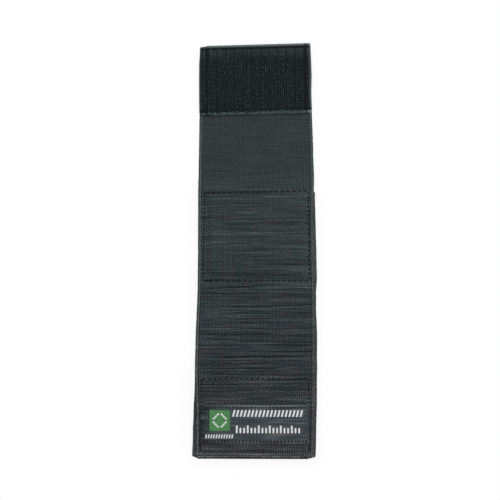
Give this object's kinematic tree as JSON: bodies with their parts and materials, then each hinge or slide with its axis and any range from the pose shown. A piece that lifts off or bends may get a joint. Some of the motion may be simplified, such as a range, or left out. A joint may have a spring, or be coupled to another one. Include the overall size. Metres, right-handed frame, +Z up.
{
  "type": "magnetic wristband",
  "caption": "Wide elastic wristband with disc magnets sewn in a flat pocket, a woven label, and hook and loop patches that close it round a wrist.",
  "frame": {"origin": "middle of the band's footprint, on the surface it lies on", "axes": "+X across the band, +Y along it from the label end to the hook end, +Z up, out of its outer face"},
  "size_m": [0.0772, 0.2788, 0.0067],
  "materials": {
    "woven_elastic": "fine ribbed weave, matt",
    "sewing_thread": "twisted polyester, slight sheen",
    "hook_tape": "woven nylon with stiff hooks",
    "loop_tape": "brushed nylon pile",
    "woven_label": "damask weave",
    "felt": "pressed felt",
    "nickel": "nickel plate"
  },
  "bodies": {
    "magnet_pocket": {"pocket_front_panel": "woven_elastic", "pocket_back_panel": "woven_elastic", "magnet_carrier": "felt", "magnet_1": "nickel", "magnet_2": "nickel", "magnet_3": "nickel", "magnet_4": "nickel", "magnet_5": "nickel", "magnet_6": "nickel", "magnet_7": "nickel", "magnet_8": "nickel", "magnet_9": "nickel", "magnet_10": "nickel", "magnet_11": "nickel", "magnet_12": "nickel", "pocket_seam_thread": "sewing_thread", "pocket_under_thread": "sewing_thread"},
    "double_stretch_1": {"front_layer_1": "woven_elastic", "back_layer_1": "woven_elastic"},
    "double_stretch_2": {"front_layer_2": "woven_elastic", "back_layer_2": "woven_elastic"},
    "double_stretch_3": {"front_layer_3": "woven_elastic", "back_layer_3": "woven_elastic"},
    "double_stretch_4": {"front_layer_4": "woven_elastic", "back_layer_4": "woven_elastic"},
    "label_end": {"folded_label_end": "woven_elastic", "loop_patch": "loop_tape", "woven_label": "woven_label", "loop_patch_seam_thread": "sewing_thread", "loop_patch_under_thread": "sewing_thread", "label_near_row_thread": "sewing_thread", "label_far_row_thread": "sewing_thread"},
    "single_stretch_1": {"single_layer_1": "woven_elastic"},
    "single_stretch_2": {"single_layer_2": "woven_elastic"},
    "single_stretch_3": {"single_layer_3": "woven_elastic"},
    "single_stretch_4": {"single_layer_4": "woven_elastic"},
    "hook_end": {"elastic_hook_end": "woven_elastic", "hook_patch": "hook_tape", "hook_patch_seam_thread": "sewing_thread", "hook_patch_under_thread": "sewing_thread"}
  },
  "joints": [
    {"name": "label_side_bend_1", "type": "hinge", "parent": "magnet_pocket", "child": "double_stretch_1", "pos_m": [0, -0.0319, 0], "axis": [1, 0, 0], "range_deg": [-6, 36]},
    {"name": "label_side_bend_2", "type": "hinge", "parent": "double_stretch_1", "child": "double_stretch_2", "pos_m": [0, -0.0462, 0], "axis": [1, 0, 0], "range_deg": [-6, 36]},
    {"name": "label_side_bend_3", "type": "hinge", "parent": "double_stretch_2", "child": "double_stretch_3", "pos_m": [0, -0.0605, 0], "axis": [1, 0, 0], "range_deg": [-6, 36]},
    {"name": "label_side_bend_4", "type": "hinge", "parent": "double_stretch_3", "child": "double_stretch_4", "pos_m": [0, -0.0748, 0], "axis": [1, 0, 0], "range_deg": [-6, 36]},
    {"name": "label_side_bend_5", "type": "hinge", "parent": "double_stretch_4", "child": "label_end", "pos_m": [0, -0.0891, 0.0021], "axis": [1, 0, 0], "range_deg": [-6, 36]},
    {"name": "hook_side_bend_1", "type": "hinge", "parent": "magnet_pocket", "child": "single_stretch_1", "pos_m": [0, 0.0336, 0.0017], "axis": [-1, 0, 0], "range_deg": [-6, 36]},
    {"name": "hook_side_bend_2", "type": "hinge", "parent": "single_stretch_1", "child": "single_stretch_2", "pos_m": [0, 0.04645, 0], "axis": [-1, 0, 0], "range_deg": [-6, 36]},
    {"name": "hook_side_bend_3", "type": "hinge", "parent": "single_stretch_2", "child": "single_stretch_3", "pos_m": [0, 0.0593, 0], "axis": [-1, 0, 0], "range_deg": [-6, 36]},
    {"name": "hook_side_bend_4", "type": "hinge", "parent": "single_stretch_3", "child": "single_stretch_4", "pos_m": [0, 0.07215, 0], "axis": [-1, 0, 0], "range_deg": [-6, 36]},
    {"name": "hook_side_bend_5", "type": "hinge", "parent": "single_stretch_4", "child": "hook_end", "pos_m": [0, 0.085, 0], "axis": [-1, 0, 0], "range_deg": [-6, 36]}
  ],
  "couplings": [
    {"joint": "label_side_bend_2", "follows": "label_side_bend_1", "ratio": 1},
    {"joint": "label_side_bend_3", "follows": "label_side_bend_1", "ratio": 1},
    {"joint": "label_side_bend_4", "follows": "label_side_bend_1", "ratio": 1},
    {"joint": "label_side_bend_5", "follows": "label_side_bend_1", "ratio": 1},
    {"joint": "hook_side_bend_2", "follows": "hook_side_bend_1", "ratio": 1},
    {"joint": "hook_side_bend_3", "follows": "hook_side_bend_1", "ratio": 1},
    {"joint": "hook_side_bend_4", "follows": "hook_side_bend_1", "ratio": 1},
    {"joint": "hook_side_bend_5", "follows": "hook_side_bend_1", "ratio": 1}
  ]
}
